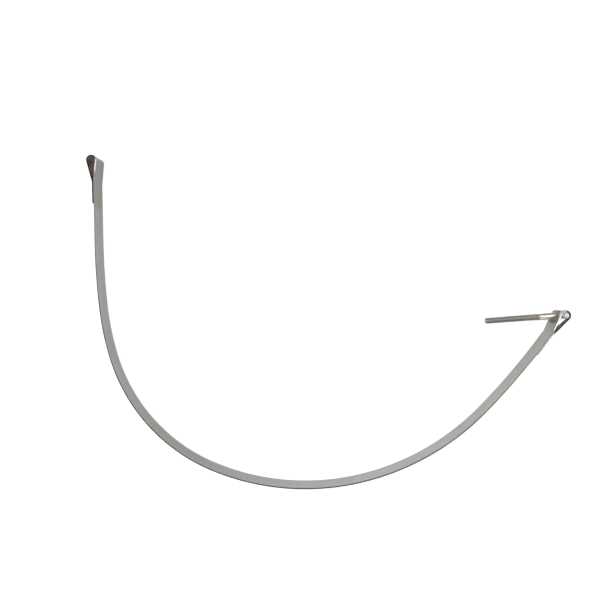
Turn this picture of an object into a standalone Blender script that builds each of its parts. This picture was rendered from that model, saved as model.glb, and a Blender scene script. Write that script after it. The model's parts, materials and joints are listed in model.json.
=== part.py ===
"""T-bolt tank strap: a flat steel band with a plain eye at one end and a T-bolt at the other.

The band stands on its long edge, so the strip's width runs along +Z and its curve lies in the XY plane.
Metres. The origin is the centre of the strap's bounding box, on the surface that it stands on.
"""

from math import acos, asin, atan2, ceil, cos, pi, radians, sin, tan

import bmesh
import bpy
from mathutils import Euler, Matrix, Vector

# Strip
STRIP_WIDTH = 0.040
STRIP_THICKNESS = 0.0019  # 14 gauge
LAYER_GAP = 0.0003  # between the band and the tail that is folded back onto it
LAYER_STEP = STRIP_THICKNESS + LAYER_GAP

# Band, from the plain eye's throat to the bolt eye's: one straight run, then arcs of changing radius
BAND_START_ANGLE = radians(-88.8)
STRAIGHT = None
BAND_RUNS = (  # length, radius
    (0.0877, STRAIGHT),
    (0.100, 1.100),
    (0.080, 0.440),
    (0.240, 0.270),
    (0.220, 0.370),
    (0.230, 0.390),
    (0.156, 1.110),
)

# Eyes: reach is from the throat to the eye's centre, bias is how far the centre sits towards the tail
EYE_INNER_RADIUS = 0.0060
EYE_CORNER = 0.0015  # from a throat to the corner that its bend rounds off
PLAIN_EYE = {"reach": 0.0345, "bias": 0.0024, "tail": 0.0317}
BOLT_EYE = {"reach": 0.0343, "bias": -0.0007, "tail": 0.0400}

# Slot in the bolt eye's fold, for the stud to swing in
SLOT_WIDTH = 0.018
SLOT_REACH = 0.0180  # from the pin's axis to the slot's round end

# Spot welds that hold each tail to the band
WELD_DIAMETER = 0.005
WELD_DEPTH = 0.0005  # how far a weld reaches into each layer
WELD_PLACES = (0.35, 0.75)  # shares of the tail's length
WELD_HEIGHTS = (0.25, 0.75)  # shares of the strip's width

# T-bolt, M10
PIN_SHIFT = 0.0009  # the pin leans towards the tail in its eye
PIN_DIAMETER = 0.010
PIN_LENGTH = 0.038
PIN_CHAMFER = 0.0008
STUD_DIAMETER = 0.010
THREAD_DIAMETER = 0.00985
STUD_LENGTH = 0.1187  # from the pin's axis to the tip
THREAD_LENGTH = 0.0848
THREAD_RUNOUT = 0.0015
TIP_CHAMFER = 0.0012
STUD_SWING = radians(130.6)  # at rest, from the band's own direction at the bolt eye
BEAD_WIDTH = 0.0013
BEAD_START = 0.0030  # from the pin's axis
BEAD_END = 0.0066
PART_GAP = 0.0003

# Mesh fineness
CHORD_ERROR = 0.00002
ROUND_SEGMENTS = 48
SMOOTH_ANGLE = radians(30)
MERGE_DISTANCE = 0.000001

STEEL = {"colour": (0.60, 0.60, 0.58), "roughness": 0.32}
BOLT_STEEL = {"colour": (0.66, 0.64, 0.61), "roughness": 0.28}
BEAD_STEEL = {"colour": (0.42, 0.38, 0.34), "roughness": 0.55}


def clear_scene():
    for old in list(bpy.data.objects):
        bpy.data.objects.remove(old, do_unlink=True)


def steel(name, finish):
    material = bpy.data.materials.new(name)
    material.use_nodes = True
    shader = material.node_tree.nodes["Principled BSDF"]
    shader.inputs["Base Color"].default_value = (*finish["colour"], 1.0)
    shader.inputs["Roughness"].default_value = finish["roughness"]
    shader.inputs["Metallic"].default_value = 1.0
    return material


def add_object(name, bm, material=None):
    """Makes an object from bm, shaded smooth but for its sharp corners."""
    bmesh.ops.recalc_face_normals(bm, faces=bm.faces)
    mesh = bpy.data.meshes.new(name)
    bm.to_mesh(mesh)
    bm.free()
    mesh.shade_smooth()
    mesh.set_sharp_from_angle(angle=SMOOTH_ANGLE)
    if material:
        mesh.materials.append(material)
    made = bpy.data.objects.new(name, mesh)
    bpy.context.scene.collection.objects.link(made)
    return made


def add_boolean(target, tool, operation):
    """Adds tool's shape to target, or takes it away, and leaves tool as a wire outline."""
    tool.hide_render = True
    tool.display_type = "WIRE"
    modifier = target.modifiers.new(tool.name, "BOOLEAN")
    modifier.operation = operation
    modifier.object = tool
    modifier.solver = "EXACT"


def ahead(angle):
    return Vector((cos(angle), sin(angle)))


def left_of(angle):
    return Vector((-sin(angle), cos(angle)))


def walk(point, angle, runs):
    """Samples (point, angle) along a path of runs (length, turn), no further off it than CHORD_ERROR."""
    samples = [(point, angle)]
    for length, turn in runs:
        count = 1
        if turn:
            radius = length / abs(turn)
            count = ceil(abs(turn) / (2 * acos(1 - CHORD_ERROR / radius)))
        half_turn = turn / count / 2
        chord = length / count * (sin(half_turn) / half_turn if turn else 1.0)
        for _ in range(count):
            point = point + chord * ahead(angle + half_turn)
            angle += 2 * half_turn
            samples.append((point, angle))
    return samples


def band_samples(start):
    """The band's centre line. Every arc turns left."""
    runs = [(length, length / radius if radius else 0.0) for length, radius in BAND_RUNS]
    return walk(start, BAND_START_ANGLE, runs)


def band_ends(band):
    """Each throat, as (point, angle towards its eye, side).

    The side is 1 where the tail lies on the left of that angle, and -1 where it lies on the right.
    """
    (start_point, start_angle), (end_point, end_angle) = band[0], band[-1]
    return (start_point, start_angle + pi, 1), (end_point, end_angle, -1)


def eye_middle(throat, eye, shift=0.0):
    """An eye's centre, or a point that lies shift nearer to the tail's side."""
    point, angle, side = throat
    across = side * (LAYER_STEP / 2 + eye["bias"] + shift)
    return point + eye["reach"] * ahead(angle) + across * left_of(angle)


def eye_runs(eye):
    """Runs from a band's end, round its eye and back to the throat, for a tail that lies on the left.

    Each flank is tangent to the eye. It meets its own straight at a corner near the throat, which a bend
    tangent to both rounds off.
    """
    radius = EYE_INNER_RADIUS + STRIP_THICKNESS / 2
    centre = Vector((eye["reach"], LAYER_STEP / 2 + eye["bias"]))
    flanks = []
    for across, side in ((0.0, -1), (LAYER_STEP, 1)):
        to_centre = centre - Vector((EYE_CORNER, across))
        angle = atan2(to_centre.y, to_centre.x) + side * asin(radius / to_centre.length)
        straight = (to_centre.length_squared - radius**2) ** 0.5 - EYE_CORNER
        bend = EYE_CORNER / tan(abs(angle) / 2) * abs(angle)
        flanks.append((angle, straight, bend))
    (band_angle, band_straight, band_bend), (tail_angle, tail_straight, tail_bend) = flanks
    eye_turn = pi + tail_angle - band_angle
    return [
        (band_bend, band_angle),
        (band_straight, 0.0),
        (radius * eye_turn, eye_turn),
        (tail_straight, 0.0),
        (tail_bend, -tail_angle),
    ]


def end_samples(throat, eye, band_radius):
    """The centre line from a throat, round the eye and along the tail, which lies on the band's outside."""
    point, angle, side = throat
    tail_turn = eye["tail"] / (band_radius + LAYER_STEP) if band_radius else 0.0
    runs = eye_runs(eye) + [(eye["tail"], tail_turn)]
    return walk(point, angle, [(length, side * turn) for length, turn in runs])


def strip_samples(start):
    """The whole strip's centre line, from the plain eye's tail to the bolt eye's tail."""
    band = band_samples(start)
    plain_throat, bolt_throat = band_ends(band)
    plain_end = end_samples(plain_throat, PLAIN_EYE, BAND_RUNS[0][1])
    bolt_end = end_samples(bolt_throat, BOLT_EYE, BAND_RUNS[-1][1])
    plain_end_reversed = [(point, angle - pi) for point, angle in reversed(plain_end)]
    return plain_end_reversed[:-1] + band + bolt_end[1:]


def centred_start():
    """Where the band has to start for the middle of the strap's box to be at the origin."""
    samples = strip_samples(Vector((0.0, 0.0)))
    faces = []
    for point, angle in samples:
        across = STRIP_THICKNESS / 2 * left_of(angle)
        faces += [point - across, point + across]
    low = Vector((min(p.x for p in faces), min(p.y for p in faces)))
    high = Vector((max(p.x for p in faces), max(p.y for p in faces)))
    return -(low + high) / 2


def strip_mesh(samples):
    """The strip's rectangular section, swept along its centre line."""
    bm = bmesh.new()
    rings = []
    for point, angle in samples:
        across = STRIP_THICKNESS / 2 * left_of(angle)
        corners = ((-across, 0.0), (across, 0.0), (across, STRIP_WIDTH), (-across, STRIP_WIDTH))
        rings.append([bm.verts.new((*(point + offset), height)) for offset, height in corners])
    for ring, following in zip(rings, rings[1:]):
        for i in range(4):
            j = (i + 1) % 4
            bm.faces.new((ring[i], ring[j], following[j], following[i]))
    bm.faces.new(rings[0])
    bm.faces.new(rings[-1])
    return bm


def weld_mesh(throat, tail, band_radius):
    """Spot weld nuggets that bridge the gap between a tail and the band."""
    bm = bmesh.new()
    point, eye_angle, side = throat
    for share in WELD_PLACES:
        distance = share * tail
        turn = side * distance / band_radius if band_radius else 0.0
        band_point, angle = walk(point, eye_angle + pi, [(distance, turn)])[-1]
        to_tail = -side * left_of(angle)
        middle = band_point + LAYER_STEP / 2 * to_tail
        lay_down = Vector((*to_tail, 0.0)).to_track_quat("Z", "Y").to_matrix().to_4x4()
        for height in WELD_HEIGHTS:
            bmesh.ops.create_cone(
                bm,
                cap_ends=True,
                segments=ROUND_SEGMENTS // 2,
                radius1=WELD_DIAMETER / 2,
                radius2=WELD_DIAMETER / 2,
                depth=LAYER_GAP + 2 * WELD_DEPTH,
                matrix=Matrix.Translation((*middle, height * STRIP_WIDTH)) @ lay_down,
            )
    return bm


def slot_mesh():
    """A tongue with one round end, which runs along +X out past the fold and through both flanks along Y."""
    bm = bmesh.new()
    radius = SLOT_WIDTH / 2
    round_end = radius - SLOT_REACH
    outline = [(SLOT_REACH, -radius), (SLOT_REACH, radius)]
    for i in range(ROUND_SEGMENTS // 2 + 1):
        angle = pi / 2 + pi * i / (ROUND_SEGMENTS // 2)
        outline.append((round_end + radius * cos(angle), radius * sin(angle)))
    face = bm.faces.new([bm.verts.new((x, -SLOT_REACH, z)) for x, z in outline])
    pushed = bmesh.ops.extrude_face_region(bm, geom=[face])["geom"]
    moved = [item for item in pushed if isinstance(item, bmesh.types.BMVert)]
    bmesh.ops.translate(bm, verts=moved, vec=(0.0, 2 * SLOT_REACH, 0.0))
    return bm


def turned_mesh(outline):
    """A round piece along +X from its outline (along, radius), which starts and ends on the axis."""
    bm = bmesh.new()
    points = [bm.verts.new((along, radius, 0.0)) for along, radius in outline]
    edges = [bm.edges.new(pair) for pair in zip(points, points[1:])]
    bmesh.ops.spin(
        bm,
        geom=points + edges,
        cent=(0.0, 0.0, 0.0),
        axis=(1.0, 0.0, 0.0),
        angle=2 * pi,
        steps=ROUND_SEGMENTS,
        use_merge=True,
    )
    bmesh.ops.remove_doubles(bm, verts=bm.verts, dist=MERGE_DISTANCE)
    return bm


def add_band(samples, throats, pin_place):
    band = add_object("strap_band", strip_mesh(samples), steel("strap_steel", STEEL))
    plain_throat, bolt_throat = throats
    for name, throat, eye, radius in (
        ("plain_eye_welds", plain_throat, PLAIN_EYE, BAND_RUNS[0][1]),
        ("bolt_eye_welds", bolt_throat, BOLT_EYE, BAND_RUNS[-1][1]),
    ):
        add_boolean(band, add_object(name, weld_mesh(throat, eye["tail"], radius)), "UNION")
    slot = add_object("slot_cutter", slot_mesh())
    slot.location = pin_place
    fold = pin_place.xy - bolt_throat[0]
    slot.rotation_euler = Euler((0.0, 0.0, atan2(fold.y, fold.x)))
    add_boolean(band, slot, "DIFFERENCE")
    return band


def add_pin(axis):
    half = PIN_LENGTH / 2
    radius = PIN_DIAMETER / 2
    outline = [(-half, 0.0), (-half, radius - PIN_CHAMFER), (PIN_CHAMFER - half, radius)]
    outline += [(-along, across) for along, across in reversed(outline)]
    pin = add_object("cross_pin", turned_mesh(outline), steel("bolt_steel", BOLT_STEEL))
    pin.rotation_euler = Euler((0.0, pi / 2, 0.0))
    pin.parent = axis
    return pin


def pin_room(name, axis):
    """A cutter that leaves PART_GAP round the pin."""
    bm = bmesh.new()
    radius = PIN_DIAMETER / 2 + PART_GAP
    bmesh.ops.create_cone(
        bm, cap_ends=True, segments=ROUND_SEGMENTS, radius1=radius, radius2=radius, depth=PIN_LENGTH
    )
    cutter = add_object(name, bm)
    cutter.parent = axis
    return cutter


def add_stud(axis):
    shank = STUD_DIAMETER / 2
    thread = THREAD_DIAMETER / 2
    thread_start = STUD_LENGTH - THREAD_LENGTH
    outline = [
        (BEAD_START, 0.0),
        (BEAD_START, shank),
        (thread_start - THREAD_RUNOUT, shank),
        (thread_start, thread),
        (STUD_LENGTH - TIP_CHAMFER, thread),
        (STUD_LENGTH, thread - TIP_CHAMFER),
        (STUD_LENGTH, 0.0),
    ]
    stud = add_object("threaded_stud", turned_mesh(outline), steel("stud_steel", BOLT_STEEL))
    stud.parent = axis
    add_boolean(stud, pin_room("stud_saddle_cutter", axis), "DIFFERENCE")
    return stud


def add_bead(axis):
    inner = STUD_DIAMETER / 2 + PART_GAP
    outer = inner + BEAD_WIDTH
    outline = [(BEAD_START, inner), (BEAD_START, outer), (BEAD_END - BEAD_WIDTH, outer), (BEAD_END, inner)]
    bead = add_object("stud_weld", turned_mesh(outline + outline[:1]), steel("weld_steel", BEAD_STEEL))
    bead.parent = axis
    add_boolean(bead, pin_room("bead_saddle_cutter", axis), "DIFFERENCE")
    return bead


def build():
    clear_scene()
    start = centred_start()
    band = band_samples(start)
    throats = band_ends(band)
    pin_place = Vector((*eye_middle(throats[1], BOLT_EYE, PIN_SHIFT), STRIP_WIDTH / 2))
    add_band(strip_samples(start), throats, pin_place)
    axis = bpy.data.objects.new("t_bolt_axis", None)
    bpy.context.scene.collection.objects.link(axis)
    axis.location = pin_place
    axis.rotation_euler = Euler((0.0, 0.0, throats[1][1] + STUD_SWING))
    add_pin(axis)
    add_stud(axis)
    add_bead(axis)


build()
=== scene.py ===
"""The looks of the T-bolt tank strap: a bent strip of stainless steel with a swinging threaded stud.

Metres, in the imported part's frame: the strap stands on its lower edge, and +Z runs up along its width.
The strip is made as a flat blank, with its slot, its rolled edges and its weld dents, and then bent.
Its outer face is the one outside its eyes, which meets the tank. Its inner face is the one inside them.
"""

import json
from bisect import bisect_right
from math import asin, atan2, ceil, cos, pi, radians, sin, sqrt, tan

import bmesh
import bpy
from mathutils import Euler, Matrix, Vector

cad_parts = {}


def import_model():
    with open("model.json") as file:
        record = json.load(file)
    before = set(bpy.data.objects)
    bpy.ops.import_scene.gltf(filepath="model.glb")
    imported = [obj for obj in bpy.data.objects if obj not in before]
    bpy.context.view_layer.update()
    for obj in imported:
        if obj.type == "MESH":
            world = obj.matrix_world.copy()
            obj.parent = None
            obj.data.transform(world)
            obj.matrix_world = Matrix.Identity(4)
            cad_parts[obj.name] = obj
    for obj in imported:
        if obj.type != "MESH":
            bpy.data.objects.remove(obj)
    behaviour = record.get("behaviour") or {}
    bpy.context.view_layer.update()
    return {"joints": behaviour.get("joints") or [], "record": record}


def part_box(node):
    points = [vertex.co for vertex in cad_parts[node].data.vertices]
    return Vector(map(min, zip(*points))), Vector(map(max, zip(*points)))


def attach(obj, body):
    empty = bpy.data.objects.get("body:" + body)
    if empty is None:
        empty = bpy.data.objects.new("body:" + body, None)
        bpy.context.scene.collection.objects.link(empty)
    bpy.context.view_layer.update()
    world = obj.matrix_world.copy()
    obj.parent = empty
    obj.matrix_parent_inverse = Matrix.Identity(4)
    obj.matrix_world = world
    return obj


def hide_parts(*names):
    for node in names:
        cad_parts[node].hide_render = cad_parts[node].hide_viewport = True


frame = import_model()
JOINT = frame["joints"][0]
MOUNTS = {mount["name"]: mount for mount in frame["record"]["mounts"]}
PIN_PLACE = Vector(JOINT["pos_m"])
STUD_REACH = Vector(MOUNTS["stud_tip"]["pos_m"]) - PIN_PLACE

# Strip, as the CAD part has it
STRIP_WIDTH = 0.040
STRIP_THICKNESS = 0.0019
LAYER_GAP = 0.0003
LAYER_STEP = STRIP_THICKNESS + LAYER_GAP
BAND_START_ANGLE = radians(-88.8)
STRAIGHT = None
BAND_RUNS = (  # length, radius
    (0.0877, STRAIGHT),
    (0.100, 1.100),
    (0.080, 0.440),
    (0.240, 0.270),
    (0.220, 0.370),
    (0.230, 0.390),
    (0.156, 1.110),
)
EYE_INNER_RADIUS = 0.0060
EYE_CORNER = 0.0015
PLAIN_EYE = {"reach": 0.0345, "bias": 0.0024, "tail": 0.0317}
BOLT_EYE = {"reach": 0.0343, "bias": -0.0007, "tail": 0.0400}
SLOT_WIDTH = 0.018
SLOT_REACH = 0.0180
WELD_PLACES = (0.35, 0.75)  # shares of the tail's length
WELD_HEIGHTS = (0.25, 0.75)  # shares of the strip's width

# Finer than the CAD part: edges, corners and weld dents
BAND_STEP_TURN = radians(1.2)
EYE_STEP_TURN = radians(3)
TAIL_CORNER = 0.0015
OUTER_EDGE_RADIUS = 0.00050  # rolled over by slitting
INNER_EDGE_RADIUS = 0.00020
EDGE_STEPS = 4
EDGE_CURL = 0.00040  # how far folding draws the strip's edge in, on the outside of a fold
CURL_REACH = 0.0045  # along the strip, to both sides of a fold
CURL_WIDTH = 0.0035  # from the strip's edge
CORNER_STEPS = 6
SLOT_STEPS = 24
DENT_RADIUS = 0.0030
DENT_DEPTH = 0.00005
DENT_RINGS = (  # share of the radius, share of the depth
    (0.35, 0.95),
    (0.62, 0.85),
    (0.80, 0.45),
    (0.95, 0.05),
    (1.08, -0.22),
    (1.25, -0.06),
    (1.45, 0.0),
    (2.00, 0.0),
)
DENT_SEGMENTS = 28
NUGGET_RADIUS = 0.0022
NUGGET_WAIST = 0.86  # share of that radius, halfway between the layers
NUGGET_BITE = 0.0001  # how far a nugget reaches into each layer
MERGE_DISTANCE = 1e-7
UPRIGHT_TOLERANCE = 1e-6  # how far along the strip an upright edge's ends may differ

# T-bolt
PIN_RADIUS = 0.005
PIN_LENGTH = 0.038
PIN_CHAMFER = 0.0008
SHANK_RADIUS = 0.005
THREAD_RADIUS = 0.004925
PITCH = 0.0015
THREAD_DEPTH = 0.6134 * PITCH
THREAD_LENGTH = 0.0848
THREAD_FADE = 2 * PITCH  # the length in which the thread runs out towards the shank
THREAD_LEAD = 1.5 * PITCH  # how far before the thread its helix begins, there clamped to the thread's start
TIP_CHAMFER = 0.0012
TIP_RADIUS = THREAD_RADIUS - TIP_CHAMFER
SHANK_STEPS = (0.009, 0.015, 0.024)  # rings along the plain shank, from the pin's axis
STUD_START = 0.0030
SADDLE_GAP = 0.00004
SADDLE_RINGS = (0.25, 0.5, 0.75, 0.9, 1.0)  # shares of the stud's radius
TURN_STEPS = 40
THREAD_PROFILE = (  # share of the pitch, share of the depth
    (0.000, 0.05),
    (0.035, 0.00),
    (0.090, 0.00),
    (0.125, 0.05),
    (0.425, 0.93),
    (0.480, 1.00),
    (0.645, 1.00),
    (0.700, 0.93),
)
BEAD_RADIUS = 0.00095
BEAD_OFF_SHANK = 0.55  # from the shank to the bead's middle; this and the next four are shares of its radius
BEAD_OFF_PIN = 0.45
RIPPLE_DEPTH = 0.10
RIPPLE_LEAN = 0.10
BEAD_WAVER = 0.03
BEAD_RIPPLES = 22
RIPPLE_STEPS = 8
BEAD_SEGMENTS = 12

# Finishes and painted light: where they begin and end
FACE_SKIN = (0.0004, 0.0008)  # offsets from the strip's middle between which a face's own finish fades in
END_SKIN = (0.0001, 0.0004)  # depths below an end face between which its own finish fades out
ROSY_END = (0.085, 0.110)  # along the strip, where the rosy tint and painted light inside the plain eye fade out
BLUE_TO_WARM = (0.011, 0.006)  # before the plain eye's throat, where blue gives way to warm
WARM_FADE = 0.010  # past the end of the plain eye's tail
SOOT_AND_SHADE_FADE = 0.003  # to both sides of the slot's end
SOOT_AND_SHADE_SIDES = (0.009, 0.016)  # distances from the strip's middle height between which the sooty stain and painted shade fade out
STUD_HEAT_END = (0.007, 0.014)  # along the stud, where the weld's tint fades out
NOISE_ROUGHNESS = 0.55
STRAP_RELIEF = 0.00002  # depth of the bumps, as are the next two
BOLT_RELIEF = 0.00001
BEAD_RELIEF = 0.00006

# Slit edges: the ends of the stretches painted black as shade or bright as highlights
PLAIN_FOLD = 0.045  # before the plain eye's throat, in the middle of its fold
PLAIN_FLANK = (0.037, 0.018)  # before that throat, on the flank on the band's side
BOLT_FLANK = (0.006, 0.034)  # past the bolt eye's throat, on the flank on the band's side
BOLT_FOLD = 0.042  # past that throat, just before the middle of its fold
BOLT_TAIL_LEAD = 0.004  # before the bolt eye's tail
STRETCH_START = (-0.003, 0.003)  # about a stretch's start, where it fades in
STRETCH_END = (-0.002, 0.004)  # about its end, where it fades out

# Camera and light
CAMERA_PLACE = (-0.03942, 0.05505, 1.039)
FOCAL_LENGTH = 39.5
CAMERA_SHIFT = (-0.0044167, -0.0239167)  # shares of the picture's width
OVERHEADS = (  # name, place, size, brightness; each looks straight down
    ("key", (1.03, 0.72, 1.90), (0.66, 2.10), 2.8),
    ("top", (-0.40, 0.28, 1.90), (0.66, 0.66), 3.0),
    ("rim", (-0.94, 0.60, 1.90), (0.40, 0.40), 2.5),
)
FILL = {  # a narrow light on the faces by the bolt eye, with its spread in degrees
    "place": (0.24, 1.25, 0.60),
    "aim": (0.35, -0.03, 0.0),
    "size": (0.5, 0.4),
    "spread": 24,
    "brightness": 0.22,
}
SIDES = (  # name, direction in degrees, height, size, brightness; each looks at the middle of the floor
    ("side_right", 4, 1.6, (1.6, 1.2), 3.0),
    ("side_back", 95, 1.0, (1.6, 1.8), 0.3),
    ("side_left", 182, 1.4, (1.6, 1.2), 5.6),
    ("side_front", 290, 1.6, (1.6, 1.2), 1.5),
)
SIDE_DISTANCE = 2.2
WORLD_LIGHT = 0.12
FLOOR_REACH = 6.0
FLOOR_LIFT = 0.58  # light that the floor adds to itself for the camera alone, so that shadows stay faint
ENCLOSED_REACH = 0.02  # how near the walls are that shut the floor in and keep that light away
ENCLOSED_RANGE = (0.15, 0.45)  # open shares of the sky between which that light fades in


# The strip's centre line


def ahead(angle):
    return Vector((cos(angle), sin(angle)))


def left_of(angle):
    return Vector((-sin(angle), cos(angle)))


def walk(point, angle, runs, step_turn):
    """Samples (distance, point, angle) along a path of runs (length, turn)."""
    distance = 0.0
    samples = [(distance, point, angle)]
    for length, turn in runs:
        count = max(1, ceil(abs(turn) / step_turn))
        half_turn = turn / count / 2
        chord = length / count * (sin(half_turn) / half_turn if turn else 1.0)
        for _ in range(count):
            point = point + chord * ahead(angle + half_turn)
            angle += 2 * half_turn
            distance += length / count
            samples.append((distance, point, angle))
    return samples


def eye_runs(eye):
    """Runs from a band's end, round its eye and back to the throat, for a tail that lies on the left."""
    radius = EYE_INNER_RADIUS + STRIP_THICKNESS / 2
    centre = Vector((eye["reach"], LAYER_STEP / 2 + eye["bias"]))
    flanks = []
    for across, side in ((0.0, -1), (LAYER_STEP, 1)):
        to_centre = centre - Vector((EYE_CORNER, across))
        angle = atan2(to_centre.y, to_centre.x) + side * asin(radius / to_centre.length)
        straight = (to_centre.length_squared - radius**2) ** 0.5 - EYE_CORNER
        bend = EYE_CORNER / tan(abs(angle) / 2) * abs(angle)
        flanks.append((angle, straight, bend))
    (band_angle, band_straight, band_bend), (tail_angle, tail_straight, tail_bend) = flanks
    eye_turn = pi + tail_angle - band_angle
    return [
        (band_bend, band_angle),
        (band_straight, 0.0),
        (radius * eye_turn, eye_turn),
        (tail_straight, 0.0),
        (tail_bend, -tail_angle),
    ]


def end_samples(throat, angle, side, eye, band_radius):
    """The centre line from a throat, round the eye and along the tail; side is 1 for a tail on the left."""
    tail_turn = eye["tail"] / (band_radius + LAYER_STEP) if band_radius else 0.0
    runs = eye_runs(eye) + [(eye["tail"], tail_turn)]
    return walk(throat, angle, [(length, side * turn) for length, turn in runs], EYE_STEP_TURN)


class CentreLine:
    """The strip's centre line, from the plain eye's tail to the bolt eye's, centred on the CAD strip."""

    def __init__(self):
        runs = [(length, length / radius if radius else 0.0) for length, radius in BAND_RUNS]
        band = walk(Vector((0.0, 0.0)), BAND_START_ANGLE, runs, BAND_STEP_TURN)
        plain = end_samples(band[0][1], BAND_START_ANGLE + pi, 1, PLAIN_EYE, BAND_RUNS[0][1])
        bolt = end_samples(band[-1][1], band[-1][2], -1, BOLT_EYE, BAND_RUNS[-1][1])
        self.plain_throat = plain[-1][0]
        self.bolt_throat = self.plain_throat + band[-1][0]
        self.length = self.bolt_throat + bolt[-1][0]
        samples = [(self.plain_throat - along, point, angle - pi) for along, point, angle in reversed(plain)]
        samples += [(self.plain_throat + along, point, angle) for along, point, angle in band[1:]]
        samples += [(self.bolt_throat + along, point, angle) for along, point, angle in bolt[1:]]
        self.distances = [sample[0] for sample in samples]
        self.angles = [sample[2] for sample in samples]
        points = [sample[1] for sample in samples]
        shift = self.shift_to_cad(points)
        self.points = [point + shift for point in points]

    def shift_to_cad(self, points):
        """The shift that centres the bent strip on the CAD strip's box."""
        faces = []
        for point, angle in zip(points, self.angles):
            across = STRIP_THICKNESS / 2 * left_of(angle)
            faces += [point - across, point + across]
        low = Vector((min(face.x for face in faces), min(face.y for face in faces)))
        high = Vector((max(face.x for face in faces), max(face.y for face in faces)))
        cad_low, cad_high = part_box("strap_band")
        return (cad_low.xy + cad_high.xy) / 2 - (low + high) / 2

    def at(self, distance):
        """(point, angle) at a distance along the strip."""
        i = min(max(bisect_right(self.distances, distance), 1), len(self.distances) - 1)
        before, after = self.distances[i - 1], self.distances[i]
        share = (distance - before) / (after - before)
        angle = self.angles[i - 1] + share * (self.angles[i] - self.angles[i - 1])
        return self.points[i - 1].lerp(self.points[i], share), angle

    def bend(self, flat):
        """Where a point (distance, offset, height) of the flat blank comes to."""
        point, angle = self.at(flat.x)
        bent = point + flat.y * left_of(angle)
        return Vector((bent.x, bent.y, flat.z))

    def fold(self, distance):
        """How tightly the strip turns about a distance: 0 on a straight, 1 in the middle of an eye."""
        turn = self.at(distance + CURL_REACH)[1] - self.at(distance - CURL_REACH)[1]
        return min(1.0, abs(turn) * (EYE_INNER_RADIUS + STRIP_THICKNESS / 2) / (2 * CURL_REACH))

    def slot_ends(self):
        """Distances of the slot's two round ends, one in each flank of the bolt eye."""
        throat = self.at(self.bolt_throat)[0]
        fold = (PIN_PLACE.xy - throat).normalized()
        inside = []
        for distance, point in zip(self.distances, self.points):
            if distance > self.bolt_throat and (point - PIN_PLACE.xy).dot(fold) > -SLOT_REACH:
                inside.append(distance)
        ends = []
        for near, step in ((inside[0], -1), (inside[-1], 1)):
            i = self.distances.index(near)
            here = (self.points[i] - PIN_PLACE.xy).dot(fold)
            there = (self.points[i + step] - PIN_PLACE.xy).dot(fold)
            share = (here + SLOT_REACH) / (here - there)
            ends.append(near + share * (self.distances[i + step] - near))
        return ends

    def weld_places(self):
        """(distance, height) of each weld dent, on the tails' outer faces."""
        distances = []
        for share in WELD_PLACES:
            distances.append(PLAIN_EYE["tail"] * (1 - share))
            distances.append(self.length - BOLT_EYE["tail"] * (1 - share))
        return [(distance, height * STRIP_WIDTH) for distance in distances for height in WELD_HEIGHTS]


# Meshes


def finish_object(name, bm, material):
    """Makes a smooth object from bm, with its flat faces kept flat by weighted normals."""
    bmesh.ops.recalc_face_normals(bm, faces=bm.faces)
    mesh = bpy.data.meshes.new(name)
    bm.to_mesh(mesh)
    bm.free()
    mesh.shade_smooth()
    mesh.materials.append(material)
    made = bpy.data.objects.new(name, mesh)
    bpy.context.scene.collection.objects.link(made)
    made.modifiers.new("flat_faces", "WEIGHTED_NORMAL").keep_sharp = True
    return made


def bridge(bm, rings):
    """Quads between closed rings of equal length."""
    for ring, following in zip(rings, rings[1:]):
        for i in range(len(ring)):
            j = (i + 1) % len(ring)
            bm.faces.new((ring[i], ring[j], following[j], following[i]))


def edge_profile():
    """(inset, offset) points of the strip's edge, from its inner face over both corners to its outer face."""
    half = STRIP_THICKNESS / 2
    steps = [radians(90) * i / EDGE_STEPS for i in range(EDGE_STEPS + 1)]
    inner = [
        (INNER_EDGE_RADIUS * (1 - cos(turn)), INNER_EDGE_RADIUS * (1 - sin(turn)) - half)
        for turn in reversed(steps)
    ]
    outer = [
        (OUTER_EDGE_RADIUS * (1 - cos(turn)), half - OUTER_EDGE_RADIUS * (1 - sin(turn))) for turn in steps
    ]
    return inner + outer


def arc(centre, radius, start, turn, steps):
    """Points along an arc, both of its ends among them."""
    angles = [start + turn * i / steps for i in range(steps + 1)]
    return [(centre[0] + radius * cos(angle), centre[1] + radius * sin(angle)) for angle in angles]


def full_circle(centre, radius, steps):
    """Points all round, the first of them not repeated."""
    return arc(centre, radius, 0.0, 2 * pi, steps)[:-1]


def blank_outline(length, inset):
    """The blank's outline, inset, with rounded tail corners."""
    outline = []
    corners = ((length, 0.0, -90), (length, STRIP_WIDTH, 0), (0.0, STRIP_WIDTH, 90), (0.0, 0.0, 180))
    for along, height, start in corners:
        middle_along = along + (TAIL_CORNER if along == 0.0 else -TAIL_CORNER)
        middle_height = height + (TAIL_CORNER if height == 0.0 else -TAIL_CORNER)
        middle = (middle_along, middle_height)
        outline += arc(middle, TAIL_CORNER - inset, radians(start), pi / 2, CORNER_STEPS)
    return outline


def slot_outline(ends, inset):
    """The slot's outline, widened by inset."""
    radius = SLOT_WIDTH / 2
    middle = STRIP_WIDTH / 2
    far = arc((ends[1] - radius, middle), radius + inset, -pi / 2, pi, SLOT_STEPS)
    near = arc((ends[0] + radius, middle), radius + inset, pi / 2, pi, SLOT_STEPS)
    return far + near


def wall(bm, outline_at):
    """The strip's edge round an outline. Returns its first and last rings, on the inner and outer faces."""
    rings = []
    for inset, offset in edge_profile():
        rings.append([bm.verts.new((along, offset, height)) for along, height in outline_at(inset)])
    bridge(bm, rings)
    return rings[0], rings[-1]


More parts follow.
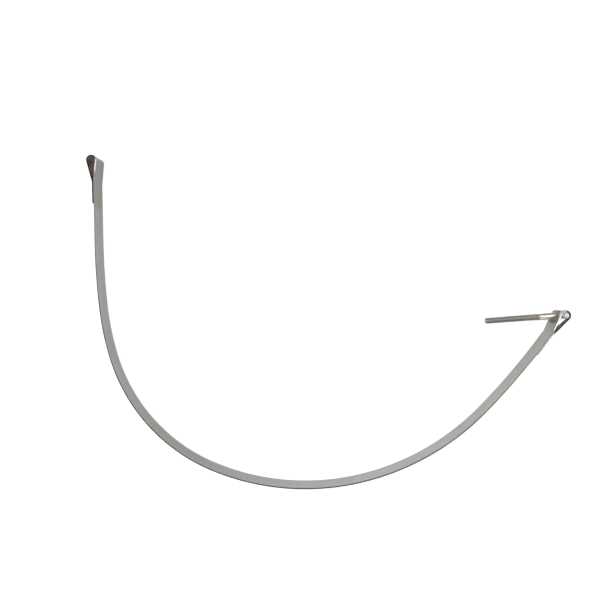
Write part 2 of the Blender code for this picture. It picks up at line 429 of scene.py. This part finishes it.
def dent(bm, place):
    """A spot weld's dent in the outer face. Returns its widest ring."""
    half = STRIP_THICKNESS / 2
    centre = bm.verts.new((place[0], half - DENT_DEPTH, place[1]))
    rings = []
    for radius_share, depth_share in DENT_RINGS:
        offset = half - DENT_DEPTH * depth_share
        circle = full_circle(place, DENT_RADIUS * radius_share, DENT_SEGMENTS)
        rings.append([bm.verts.new((along, offset, height)) for along, height in circle])
    for i, vert in enumerate(rings[0]):
        bm.faces.new((centre, vert, rings[0][(i + 1) % DENT_SEGMENTS]))
    bridge(bm, rings)
    return rings[-1]


def fill(bm, rings, filled):
    """Fills the flat face between rings, and marks its new edges in the layer."""
    old = set(bm.edges)
    edges = []
    for ring in rings:
        for i, vert in enumerate(ring):
            edges.append(bm.edges.get((vert, ring[(i + 1) % len(ring)])))
    bmesh.ops.triangle_fill(bm, use_beauty=True, use_dissolve=False, edges=edges)
    for edge in bm.edges:
        if edge not in old:
            edge[filled] = 1


def flat_blank(line):
    """The strip before bending: distance along X, offset from its middle along Y, height along Z."""
    bm = bmesh.new()
    filled = bm.edges.layers.int.new("filled")
    ends = line.slot_ends()
    inner, outer = wall(bm, lambda inset: blank_outline(line.length, inset))
    slot_inner, slot_outer = wall(bm, lambda inset: slot_outline(ends, inset))
    dents = [dent(bm, place) for place in line.weld_places()]
    fill(bm, [inner, slot_inner], filled)
    fill(bm, [outer, slot_outer] + dents, filled)
    cuts = set(line.distances[1:-1]) | {place[0] for place in line.weld_places()} | set(ends)
    for distance in sorted(cuts):
        bmesh.ops.bisect_plane(
            bm,
            geom=bm.verts[:] + bm.edges[:] + bm.faces[:],
            dist=MERGE_DISTANCE,
            plane_co=(distance, 0.0, 0.0),
            plane_no=(1.0, 0.0, 0.0),
        )
    slanted = []
    for edge in bm.edges:
        lean = abs(edge.verts[0].co.x - edge.verts[1].co.x)
        if edge[filled] and lean > UPRIGHT_TOLERANCE:
            slanted.append(edge)
    bmesh.ops.dissolve_edges(bm, edges=slanted, use_verts=True)
    return bm


def heat_at(flat, welds):
    """How near a point of the blank lies to a weld dent: 1 at its middle, 0 from its widest ring on."""
    if flat.y < 0:
        return 0.0
    reach = DENT_RADIUS * DENT_RINGS[-1][0]
    return max(0.0, max(1 - sqrt((flat.x - x) ** 2 + (flat.z - z) ** 2) / reach for x, z in welds))


def curled(line, flat):
    """A point of the blank after folding has drawn its edges in on the outside of the folds."""
    edge = min(flat.z, STRIP_WIDTH - flat.z)
    outside = 0.5 + flat.y / STRIP_THICKNESS
    draw = EDGE_CURL * outside * line.fold(flat.x) * max(0.0, 1 - edge / CURL_WIDTH) ** 2
    return Vector((flat.x, flat.y, flat.z + (draw if flat.z < STRIP_WIDTH / 2 else -draw)))


def bent_strip(line):
    """The finished strip. Its vertices keep their place on the blank, their direction and their weld heat."""
    bm = flat_blank(line)
    place = bm.verts.layers.float_vector.new("strip_place")
    grain = bm.verts.layers.float_vector.new("strip_grain")
    heat = bm.verts.layers.float.new("strip_heat")
    welds = line.weld_places()
    for vert in bm.verts:
        flat = vert.co.copy()
        direction = ahead(line.at(flat.x)[1])
        vert[place] = flat
        vert[grain] = (direction.x, direction.y, 0.0)
        vert[heat] = heat_at(flat, welds)
        vert.co = line.bend(curled(line, flat))
    return bm


def nuggets(line):
    """The fused metal between each tail and the band: small waisted discs that reach into both."""
    bm = bmesh.new()
    half = STRIP_THICKNESS / 2
    waist = (  # offset, share of the radius
        (-half - LAYER_GAP - NUGGET_BITE, 1.0),
        (-half - LAYER_GAP / 2, NUGGET_WAIST),
        (-half + NUGGET_BITE, 1.0),
    )
    for share in WELD_PLACES:
        for distance in (
            line.plain_throat + share * PLAIN_EYE["tail"],
            line.bolt_throat - share * BOLT_EYE["tail"],
        ):
            for height in WELD_HEIGHTS:
                middle = (distance, height * STRIP_WIDTH)
                rings = []
                for offset, radius_share in waist:
                    circle = full_circle(middle, NUGGET_RADIUS * radius_share, DENT_SEGMENTS)
                    rings.append([bm.verts.new(line.bend(Vector((x, offset, z)))) for x, z in circle])
                bridge(bm, rings)
                bm.faces.new(rings[0])
                bm.faces.new(rings[-1])
    return bm


def turned(bm, outline, steps):
    """Rings round X from (along, radius) points, closed with a point wherever the radius is zero."""
    rings = []
    for along, radius in outline:
        if radius:
            turns = [2 * pi * i / steps for i in range(steps)]
            rings.append([bm.verts.new((along, radius * cos(turn), radius * sin(turn))) for turn in turns])
        else:
            rings.append([bm.verts.new((along, 0.0, 0.0))])
    for ring, following in zip(rings, rings[1:]):
        if len(ring) == len(following):
            bridge(bm, [ring, following])
        else:
            point, circle = (ring[0], following) if len(ring) == 1 else (following[0], ring)
            for i, vert in enumerate(circle):
                bm.faces.new((point, vert, circle[(i + 1) % len(circle)]))


def pin_mesh():
    """The cross pin along X, its chamfers slightly rounded where they meet its faces and its side."""
    bm = bmesh.new()
    half = PIN_LENGTH / 2
    soft = PIN_CHAMFER / 5
    end = [  # along, radius
        (-half, 0.0),
        (-half, 0.45 * PIN_RADIUS),
        (-half, PIN_RADIUS - PIN_CHAMFER - soft),
        (-half + soft / 3, PIN_RADIUS - PIN_CHAMFER),
        (-half + PIN_CHAMFER - soft, PIN_RADIUS - soft),
        (-half + PIN_CHAMFER, PIN_RADIUS - soft / 4),
        (-half + PIN_CHAMFER + soft, PIN_RADIUS),
    ]
    turned(bm, end + [(-along, radius) for along, radius in reversed(end)], 2 * TURN_STEPS)
    return bm


def ease(value, low, high):
    """0 up to low, 1 from high on, and a smooth step between."""
    share = min(1.0, max(0.0, (value - low) / (high - low)))
    return share * share * (3 - 2 * share)


def thread_mesh(bm, start, end, groove_depth):
    """A helical M10 thread along X, which fades out at its start and ends in the tip's chamfer."""
    rows = []
    first = start - THREAD_LEAD
    row_count = ceil((end - first) / PITCH + 1) * TURN_STEPS
    for row in range(row_count + TURN_STEPS):
        turn = 2 * pi * row / TURN_STEPS
        verts = []
        for pitch_share, depth_share in THREAD_PROFILE:
            along = min(end, max(start, first + PITCH * (row / TURN_STEPS + pitch_share)))
            full = ease(along, start, start + THREAD_FADE)
            crest = SHANK_RADIUS + (THREAD_RADIUS - SHANK_RADIUS) * full
            radius = min(crest - THREAD_DEPTH * depth_share * full, TIP_RADIUS + end - along)
            vert = bm.verts.new((along, radius * cos(turn), radius * sin(turn)))
            vert[groove_depth] = depth_share * full
            verts.append(vert)
        rows.append(verts)
    for row in range(row_count):
        here = rows[row] + rows[row + TURN_STEPS][:1]
        following = list(rows[row + 1])
        if row + 1 + TURN_STEPS < len(rows):
            following.append(rows[row + 1 + TURN_STEPS][0])
        for i in range(min(len(here), len(following)) - 1):
            bm.faces.new((here[i], following[i], following[i + 1], here[i + 1]))


def saddle_rings(bm, reach):
    """The stud's coped end, which lies against the pin's side, as rings from its middle to its rim."""
    rings = [[bm.verts.new((reach, 0.0, 0.0))]]
    for share in SADDLE_RINGS:
        ring = []
        for i in range(TURN_STEPS):
            turn = 2 * pi * i / TURN_STEPS
            y, z = SHANK_RADIUS * share * cos(turn), SHANK_RADIUS * share * sin(turn)
            along = max(STUD_START, sqrt(max(0.0, reach**2 - y**2)))
            ring.append(bm.verts.new((along, y, z)))
        rings.append(ring)
    for i, vert in enumerate(rings[1]):
        bm.faces.new((rings[0][0], vert, rings[1][(i + 1) % TURN_STEPS]))
    bridge(bm, rings[1:])
    return rings[-1]


def stud_mesh():
    """The stud along X from the pin's axis: coped end, plain shank, thread and chamfered tip."""
    bm = bmesh.new()
    groove_depth = bm.verts.layers.float.new("thread_depth")
    end = STUD_REACH.length
    thread_start = end - THREAD_LENGTH
    rim = saddle_rings(bm, PIN_RADIUS + SADDLE_GAP)
    shank = [rim]
    for along in (*SHANK_STEPS, thread_start):
        circle = full_circle((0.0, 0.0), SHANK_RADIUS, TURN_STEPS)
        shank.append([bm.verts.new((along, y, z)) for y, z in circle])
    bridge(bm, shank)
    thread_mesh(bm, thread_start, end, groove_depth)
    turned(bm, [(end, TIP_RADIUS), (end, 0.5 * TIP_RADIUS), (end, 0.0)], TURN_STEPS)
    bmesh.ops.remove_doubles(bm, verts=bm.verts, dist=MERGE_DISTANCE)
    bmesh.ops.dissolve_degenerate(bm, edges=bm.edges, dist=MERGE_DISTANCE)
    return bm


def bead_mesh():
    """The weld bead round the stud where it meets the pin, laid in overlapping ripples."""
    bm = bmesh.new()
    rings = []
    steps = RIPPLE_STEPS * BEAD_RIPPLES
    middle = SHANK_RADIUS + BEAD_OFF_SHANK * BEAD_RADIUS
    reach = PIN_RADIUS + BEAD_OFF_PIN * BEAD_RADIUS
    for i in range(steps):
        turn = 2 * pi * i / steps
        y, z = middle * cos(turn), middle * sin(turn)
        along = max(STUD_START + BEAD_RADIUS, sqrt(max(0.0, reach**2 - y**2)))
        ripple = (turn * BEAD_RIPPLES / (2 * pi)) % 1.0
        swell = sin(pi * ripple)
        size = BEAD_RADIUS * (1 - RIPPLE_DEPTH + RIPPLE_DEPTH * swell**0.5 + BEAD_WAVER * sin(3 * turn))
        lean = RIPPLE_LEAN * BEAD_RADIUS * swell
        ring = []
        for j in range(BEAD_SEGMENTS):
            round_turn = 2 * pi * j / BEAD_SEGMENTS
            out = size * cos(round_turn)
            offset = Vector((size * sin(round_turn) + lean, out * cos(turn), out * sin(turn)))
            ring.append(bm.verts.new(Vector((along, y, z)) + offset))
        rings.append(ring)
    bridge(bm, rings + rings[:1])
    return bm


# Material nodes


class Nodes:
    """A metal material's node tree, with short calls for the nodes that it needs."""

    def __init__(self, name):
        self.material = bpy.data.materials.new(name)
        self.material.use_nodes = True
        self.tree = self.material.node_tree
        self.shader = self.tree.nodes["Principled BSDF"]
        self.shader.inputs["Metallic"].default_value = 1.0

    def add(self, kind, inputs, **settings):
        node = self.tree.nodes.new(kind)
        for key, value in settings.items():
            setattr(node, key, value)
        for key, value in inputs.items():
            self.feed(node.inputs[key], value)
        return node

    def feed(self, socket, value):
        if isinstance(value, bpy.types.NodeSocket):
            self.tree.links.new(value, socket)
        else:
            socket.default_value = value

    def attribute(self, name, output="Vector"):
        return self.add("ShaderNodeAttribute", {}, attribute_name=name).outputs[output]

    def local(self):
        return self.add("ShaderNodeTexCoord", {}).outputs["Object"]

    def parts(self, vector):
        return self.add("ShaderNodeSeparateXYZ", {"Vector": vector}).outputs

    def scaled(self, vector, scale):
        return self.add("ShaderNodeMapping", {"Vector": vector, "Scale": scale}).outputs["Vector"]

    def noise(self, vector, scale, detail):
        """Noise with a scale of its own, in waves per metre, along each axis."""
        scaled = self.scaled(vector, scale)
        inputs = {"Vector": scaled, "Scale": 1.0, "Detail": detail, "Roughness": NOISE_ROUGHNESS}
        return self.add("ShaderNodeTexNoise", inputs).outputs["Fac"]

    def math(self, operation, first, second=0.0):
        return self.add("ShaderNodeMath", {0: first, 1: second}, operation=operation).outputs[0]

    def product(self, first, second):
        return self.math("MULTIPLY", first, second)

    def ramp(self, value, low, high, to_low=0.0, to_high=1.0):
        """Maps low..high to to_low..to_high with a smooth step, and holds it beyond. Low may exceed high."""
        inputs = {"Value": value, "From Min": low, "From Max": high, "To Min": to_low, "To Max": to_high}
        return self.add("ShaderNodeMapRange", inputs, interpolation_type="SMOOTHSTEP").outputs["Result"]

    def end_skin(self, from_middle, half):
        """1 on the faces that end a piece, half its size from its middle, and 0 just below them."""
        return self.ramp(from_middle, half - END_SKIN[1], half - END_SKIN[0])

    def mix(self, share, first, second):
        """Mixes two colours."""
        node = self.add("ShaderNodeMix", {}, data_type="RGBA")
        for socket, value in zip((node.inputs[0], node.inputs[6], node.inputs[7]), (share, first, second)):
            self.feed(socket, (*value, 1.0) if isinstance(value, tuple) else value)
        return node.outputs[2]

    def surface(self, colour, roughness, height, depth):
        bump = self.add("ShaderNodeBump", {"Height": height, "Distance": depth, "Strength": 1.0})
        self.feed(self.shader.inputs["Base Color"], colour)
        self.feed(self.shader.inputs["Roughness"], roughness)
        self.feed(self.shader.inputs["Normal"], bump.outputs["Normal"])
        return self.material


def mill_colour(nodes, place, streaks, blotches):
    """The strip's own colour: light and dark streaks, faint blotches and a warm cast in places."""
    casts = nodes.noise(place, (16.0, 12.0, 12.0), detail=1.0)
    colour = nodes.mix(nodes.ramp(streaks, 0.35, 0.65), (0.600, 0.600, 0.585), (0.670, 0.668, 0.650))
    colour = nodes.mix(nodes.ramp(blotches, 0.45, 0.75, 0.0, 0.5), colour, (0.570, 0.562, 0.540))
    return nodes.mix(nodes.ramp(casts, 0.35, 0.65, 0.0, 0.5), colour, (0.610, 0.575, 0.540))


def plain_eye_tints_and_painted_light(nodes, line, colour, along, offset):
    """Heat tints by the plain eye, blue on its outer face and warm along its weld, and inside it a rosy tint
    lighter than the steel: painted light on the eye's shaded inside.
    """
    throat = line.plain_throat
    blue_end, warm_start = throat - BLUE_TO_WARM[0], throat - BLUE_TO_WARM[1]
    welded_end = throat + PLAIN_EYE["tail"]
    inner_face = nodes.ramp(offset, -FACE_SKIN[0], -FACE_SKIN[1])
    # inside the eye: a rosy tint made lighter than the steel, painted light where the eye's inside lies in
    # shade
    rosy = nodes.product(inner_face, nodes.ramp(along, ROSY_END[1], ROSY_END[0]))
    colour = nodes.mix(nodes.product(rosy, 0.8), colour, (0.860, 0.740, 0.700))
    blued = nodes.product(nodes.ramp(offset, *FACE_SKIN), nodes.ramp(along, warm_start, blue_end))
    colour = nodes.mix(nodes.product(blued, 0.5), colour, (0.400, 0.420, 0.450))
    before_end = nodes.ramp(along, welded_end + WARM_FADE, welded_end)
    warmed = nodes.product(nodes.ramp(along, blue_end, warm_start), before_end)
    return nodes.mix(nodes.product(warmed, 0.5), colour, (0.470, 0.425, 0.380))


def soot_and_painted_shade(nodes, line, colour, along, offset, from_middle, blotches):
    """Sooty weld stain and painted shade on the outer face, from the slot's end on the band's side to the
    tail's end: a patchy dark stripe about the stud's height.
    """
    start = line.slot_ends()[0]
    past_start = nodes.ramp(along, start - SOOT_AND_SHADE_FADE, start + SOOT_AND_SHADE_FADE)
    stripe = nodes.product(past_start, nodes.ramp(from_middle, SOOT_AND_SHADE_SIDES[1], SOOT_AND_SHADE_SIDES[0]))
    patchy = nodes.ramp(blotches, 0.25, 0.6, 0.55, 0.9)
    # a dark stripe about the stud's height: partly sooty stain, partly painted shade of the stud and slot
    sooted_and_shaded = nodes.product(nodes.product(stripe, nodes.ramp(offset, *FACE_SKIN)), patchy)
    return nodes.mix(sooted_and_shaded, colour, (0.170, 0.140, 0.115))


def spot_weld_tints(nodes, colour):
    """Straw colour round the spot welds, and blue on them."""
    heat = nodes.attribute("strip_heat", "Fac")
    colour = nodes.mix(nodes.ramp(heat, 0.0, 0.35, 0.0, 0.15), colour, (0.560, 0.500, 0.400))
    return nodes.mix(nodes.ramp(heat, 0.30, 0.60, 0.0, 0.20), colour, (0.420, 0.420, 0.450))


def slit_tone_and_painted_light(nodes, line, along):
    """The slit edges' colour: dark grey along the band, and round the eyes and tails in turn painted black as
    shade or bright as highlights.
    """
    plain, bolt, tail = line.plain_throat, line.bolt_throat, line.length - BOLT_EYE["tail"]
    colour = (0.230, 0.225, 0.215)
    # each stretch's tone is painted light: the black ones are painted shade, the bright ones painted
    # highlights
    for start, end, finish in (
        (0.0, plain - PLAIN_FOLD, (0.030, 0.031, 0.029)),
        (plain - PLAIN_FLANK[0], plain - PLAIN_FLANK[1], (0.620, 0.600, 0.580)),
        (bolt + BOLT_FLANK[0], bolt + BOLT_FLANK[1], (0.620, 0.610, 0.590)),
        (bolt + BOLT_FOLD, tail - BOLT_TAIL_LEAD, (0.030, 0.030, 0.030)),
        (tail, line.length, (0.620, 0.610, 0.590)),
    ):
        past_start = nodes.ramp(along, start + STRETCH_START[0], start + STRETCH_START[1])
        before_end = nodes.ramp(along, end + STRETCH_END[1], end + STRETCH_END[0])
        colour = nodes.mix(nodes.product(past_start, before_end), colour, finish)
    return colour


def strap_steel(line):
    """Mill-finish stainless strip: grain along it, tints and sooty stains by its eyes and welds, painted
    shade by the slot, painted light inside the plain eye, and slit edges, dark grey, painted black as shade
    or bright as highlights in stretches.
    """
    nodes = Nodes("strap_steel")
    place = nodes.attribute("strip_place")
    along, offset, height = nodes.parts(place)[:3]
    from_middle = nodes.math("ABSOLUTE", nodes.math("SUBTRACT", height, STRIP_WIDTH / 2))
    slit = nodes.end_skin(from_middle, STRIP_WIDTH / 2)
    fine = nodes.noise(place, (30.0, 3500.0, 3500.0), detail=3.0)
    streaks = nodes.noise(place, (6.0, 420.0, 420.0), detail=5.0)
    blotches = nodes.noise(place, (22.0, 40.0, 60.0), detail=3.0)
    colour = mill_colour(nodes, place, streaks, blotches)
    colour = plain_eye_tints_and_painted_light(nodes, line, colour, along, offset)
    colour = soot_and_painted_shade(nodes, line, colour, along, offset, from_middle, blotches)
    colour = spot_weld_tints(nodes, colour)
    # slit edges: a darker tone, with painted shade and painted highlights in stretches
    colour = nodes.mix(slit, colour, slit_tone_and_painted_light(nodes, line, along))
    roughness = nodes.math("SUBTRACT", nodes.ramp(fine, 0.3, 0.7, 0.26, 0.36), nodes.product(slit, 0.06))
    roughness = nodes.math("ADD", roughness, nodes.ramp(blotches, 0.4, 0.7, 0.0, 0.05))
    relief = nodes.math("ADD", nodes.product(fine, 0.6), nodes.product(streaks, 0.4))
    nodes.shader.inputs["Anisotropic"].default_value = 0.45
    nodes.feed(nodes.shader.inputs["Tangent"], nodes.attribute("strip_grain"))
    return nodes.surface(colour, roughness, relief, STRAP_RELIEF)


def bolt_steel(name):
    """Bright turned steel: fine rings round its axis and light stains."""
    nodes = Nodes(name)
    place = nodes.local()
    rings = nodes.noise(place, (5200.0, 60.0, 60.0), detail=2.0)
    stains = nodes.noise(place, (120.0, 160.0, 160.0), detail=4.0)
    colour = nodes.mix(nodes.ramp(stains, 0.40, 0.70), (0.640, 0.610, 0.585), (0.560, 0.525, 0.495))
    stained = nodes.ramp(stains, 0.45, 0.75, 0.0, 0.08)
    roughness = nodes.math("ADD", nodes.ramp(rings, 0.3, 0.7, 0.20, 0.30), stained)
    return nodes, colour, roughness, rings


def pin_steel():
    """The bolt's steel, sawn and dull on the two end faces."""
    nodes, colour, roughness, rings = bolt_steel("bolt_steel")
    place = nodes.local()
    face = nodes.end_skin(nodes.math("ABSOLUTE", nodes.parts(place)[0]), PIN_LENGTH / 2)
    saw = nodes.ramp(nodes.noise(place, (1.0, 300.0, 2500.0), detail=3.0), 0.35, 0.65, 0.5, 1.0)
    colour = nodes.mix(nodes.product(face, saw), colour, (0.440, 0.428, 0.410))
    roughness = nodes.math("ADD", roughness, nodes.product(face, 0.12))
    return nodes.surface(colour, roughness, rings, BOLT_RELIEF)


def stud_steel():
    """The bolt's steel, darker down the thread's flanks into its roots, and with a heat tint by the weld."""
    nodes, colour, roughness, rings = bolt_steel("stud_steel")
    depth = nodes.attribute("thread_depth", "Fac")
    along = nodes.parts(nodes.local())[0]
    # darker with depth down the thread's flanks into its roots
    colour = nodes.mix(nodes.ramp(depth, 0.1, 0.7, 0.0, 0.7), colour, (0.330, 0.300, 0.270))
    heated = nodes.ramp(along, STUD_HEAT_END[1], STUD_HEAT_END[0], 0.0, 0.55)
    colour = nodes.mix(heated, colour, (0.420, 0.330, 0.220))
    roughness = nodes.math("ADD", roughness, nodes.ramp(depth, 0.1, 1.0, 0.0, 0.15))
    return nodes.surface(colour, roughness, rings, BOLT_RELIEF)


def weld_steel():
    """A heat-tinted bead, straw and blue in patches, with a rough skin."""
    nodes = Nodes("weld_steel")
    place = nodes.local()
    patches = nodes.noise(place, (420.0, 420.0, 420.0), detail=3.0)
    skin = nodes.noise(place, (2600.0, 2600.0, 2600.0), detail=4.0)
    colour = nodes.mix(nodes.ramp(patches, 0.35, 0.55), (0.400, 0.340, 0.270), (0.300, 0.290, 0.310))
    colour = nodes.mix(nodes.ramp(patches, 0.55, 0.72), colour, (0.480, 0.470, 0.450))
    return nodes.surface(colour, nodes.ramp(skin, 0.3, 0.7, 0.35, 0.60), skin, BEAD_RELIEF)


# Scene


def strap():
    line = CentreLine()
    steel = strap_steel(line)
    band = finish_object("bent_strap", bent_strip(line), steel)
    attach(band, "strap")
    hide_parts("strap_band")
    welds = finish_object("spot_weld_nuggets", nuggets(line), steel)
    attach(welds, "strap")


def t_bolt():
    swing = Matrix.Rotation(atan2(STUD_REACH.y, STUD_REACH.x), 4, "Z")
    upright = Euler((0.0, pi / 2, 0.0)).to_matrix().to_4x4()
    for name, mesh, material, turn, node, slot in (
        ("trunnion_pin", pin_mesh(), pin_steel(), swing @ upright, "cross_pin", "bolt_steel"),
        ("m10_stud", stud_mesh(), stud_steel(), swing, "threaded_stud", "stud_steel"),
        ("rippled_bead", bead_mesh(), weld_steel(), swing, "stud_weld", "weld_steel"),
    ):
        piece = finish_object(name, mesh, material)
        piece.matrix_world = Matrix.Translation(PIN_PLACE) @ turn
        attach(piece, "t_bolt")
        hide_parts(node)


def floor():
    """A pale floor that adds light of its own for the camera alone, but not where it is walled in."""
    bm = bmesh.new()
    bmesh.ops.create_grid(bm, x_segments=1, y_segments=1, size=FLOOR_REACH)
    material = bpy.data.materials.new("pale_floor")
    material.use_nodes = True
    tree = material.node_tree
    shader = tree.nodes["Principled BSDF"]
    shader.inputs["Base Color"].default_value = (0.80, 0.80, 0.80, 1.0)
    shader.inputs["Roughness"].default_value = 0.9
    shader.inputs["Specular IOR Level"].default_value = 0.1
    shader.inputs["Emission Color"].default_value = (1.0, 1.0, 1.0, 1.0)
    enclosed = tree.nodes.new("ShaderNodeAmbientOcclusion")
    enclosed.inputs["Distance"].default_value = ENCLOSED_REACH
    opened = tree.nodes.new("ShaderNodeMapRange")
    opened.inputs["From Min"].default_value, opened.inputs["From Max"].default_value = ENCLOSED_RANGE
    opened.inputs["To Max"].default_value = FLOOR_LIFT
    tree.links.new(enclosed.outputs["AO"], opened.inputs["Value"])
    lift = tree.nodes.new("ShaderNodeMath")
    lift.operation = "MULTIPLY"
    tree.links.new(tree.nodes.new("ShaderNodeLightPath").outputs["Is Camera Ray"], lift.inputs[0])
    tree.links.new(opened.outputs["Result"], lift.inputs[1])
    tree.links.new(lift.outputs[0], shader.inputs["Emission Strength"])
    mesh = bpy.data.meshes.new("floor")
    bm.to_mesh(mesh)
    bm.free()
    mesh.materials.append(material)
    made = bpy.data.objects.new("floor", mesh)
    bpy.context.scene.collection.objects.link(made)


def softbox(name, place, size, brightness, aim, spread=180):
    light = bpy.data.lights.new(name, "AREA")
    light.shape = "RECTANGLE"
    light.spread = radians(spread)
    light.size, light.size_y = size
    light.energy = brightness * pi * size[0] * size[1]
    made = bpy.data.objects.new(name, light)
    made.location = place
    made.rotation_euler = (Vector(aim) - Vector(place)).to_track_quat("-Z", "Y").to_euler()
    bpy.context.scene.collection.objects.link(made)


def world():
    made = bpy.data.worlds.new("studio")
    made.use_nodes = True
    background = made.node_tree.nodes["Background"]
    background.inputs["Color"].default_value = (1.0, 1.0, 1.0, 1.0)
    background.inputs["Strength"].default_value = WORLD_LIGHT
    bpy.context.scene.world = made


def camera():
    data = bpy.data.cameras.new("camera")
    data.lens = FOCAL_LENGTH
    data.shift_x, data.shift_y = CAMERA_SHIFT
    made = bpy.data.objects.new("camera", data)
    made.location = CAMERA_PLACE
    bpy.context.scene.collection.objects.link(made)
    bpy.context.scene.camera = made


def studio():
    bpy.context.scene.view_settings.view_transform = "Standard"
    camera()
    world()
    floor()
    for name, place, size, brightness in OVERHEADS:
        softbox(name, place, size, brightness, (place[0], place[1], 0.0))
    softbox("fill", FILL["place"], FILL["size"], FILL["brightness"], FILL["aim"], FILL["spread"])
    for name, degrees, height, size, brightness in SIDES:
        side = SIDE_DISTANCE * ahead(radians(degrees))
        softbox(name, (side.x, side.y, height), size, brightness, (0.0, 0.0, 0.0))


studio()
strap()
t_bolt()
